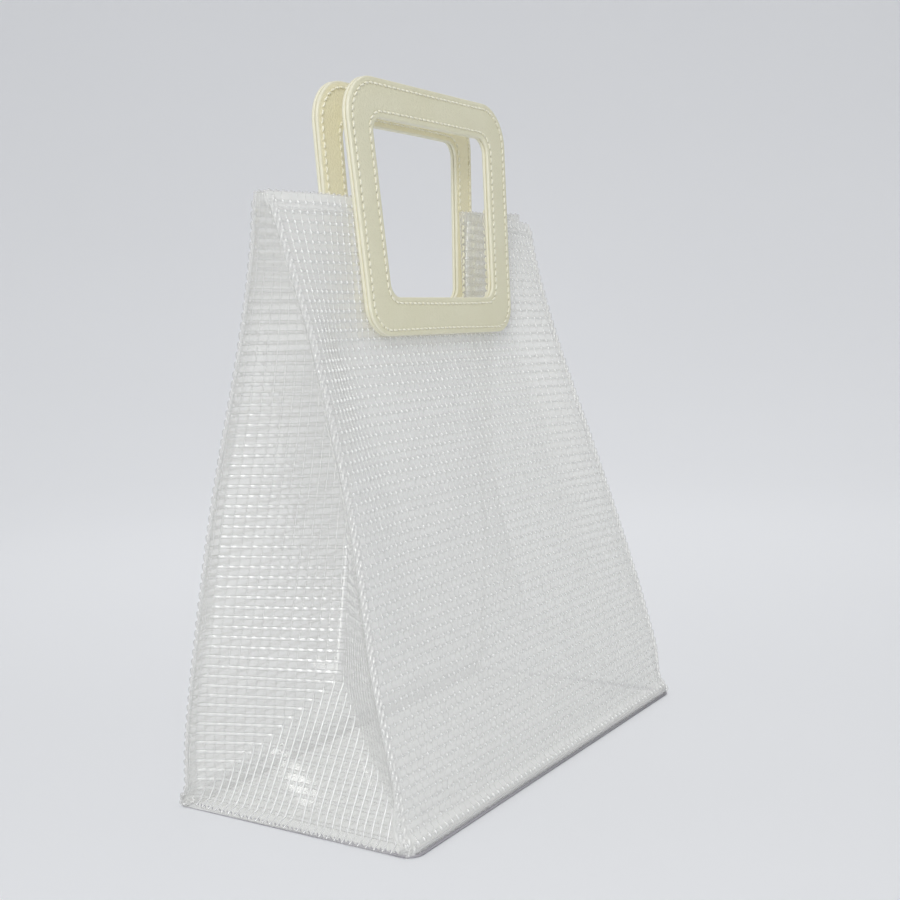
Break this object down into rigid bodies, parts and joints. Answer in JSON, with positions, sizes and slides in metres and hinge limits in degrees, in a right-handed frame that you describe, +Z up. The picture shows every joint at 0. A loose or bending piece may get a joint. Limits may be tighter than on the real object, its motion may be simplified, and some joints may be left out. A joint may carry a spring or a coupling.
{
  "type": "clear handbag",
  "caption": "Clear vinyl handbag with a woven yarn grid, folded side gussets, a flat base and cream leather frame handles.",
  "frame": {"origin": "middle of the base's underside, on the floor", "axes": "+Z up, the front panel faces -Y, the handles' width runs along X"},
  "size_m": [0.2511, 0.125, 0.3145],
  "materials": {
    "yarn_vinyl": "clear soft vinyl film laminated over a grid of white polyester yarns, glossy",
    "cream_leather": "fine-grained coated leather in cream with painted edges and stitching of the same colour"
  },
  "bodies": {
    "root": {"front_panel": "yarn_vinyl", "back_panel": "yarn_vinyl", "left_gusset": "yarn_vinyl", "right_gusset": "yarn_vinyl", "base_panel": "yarn_vinyl", "front_handle_face": "cream_leather", "front_handle_backing": "cream_leather", "back_handle_face": "cream_leather", "back_handle_backing": "cream_leather"}
  },
  "joints": []
}
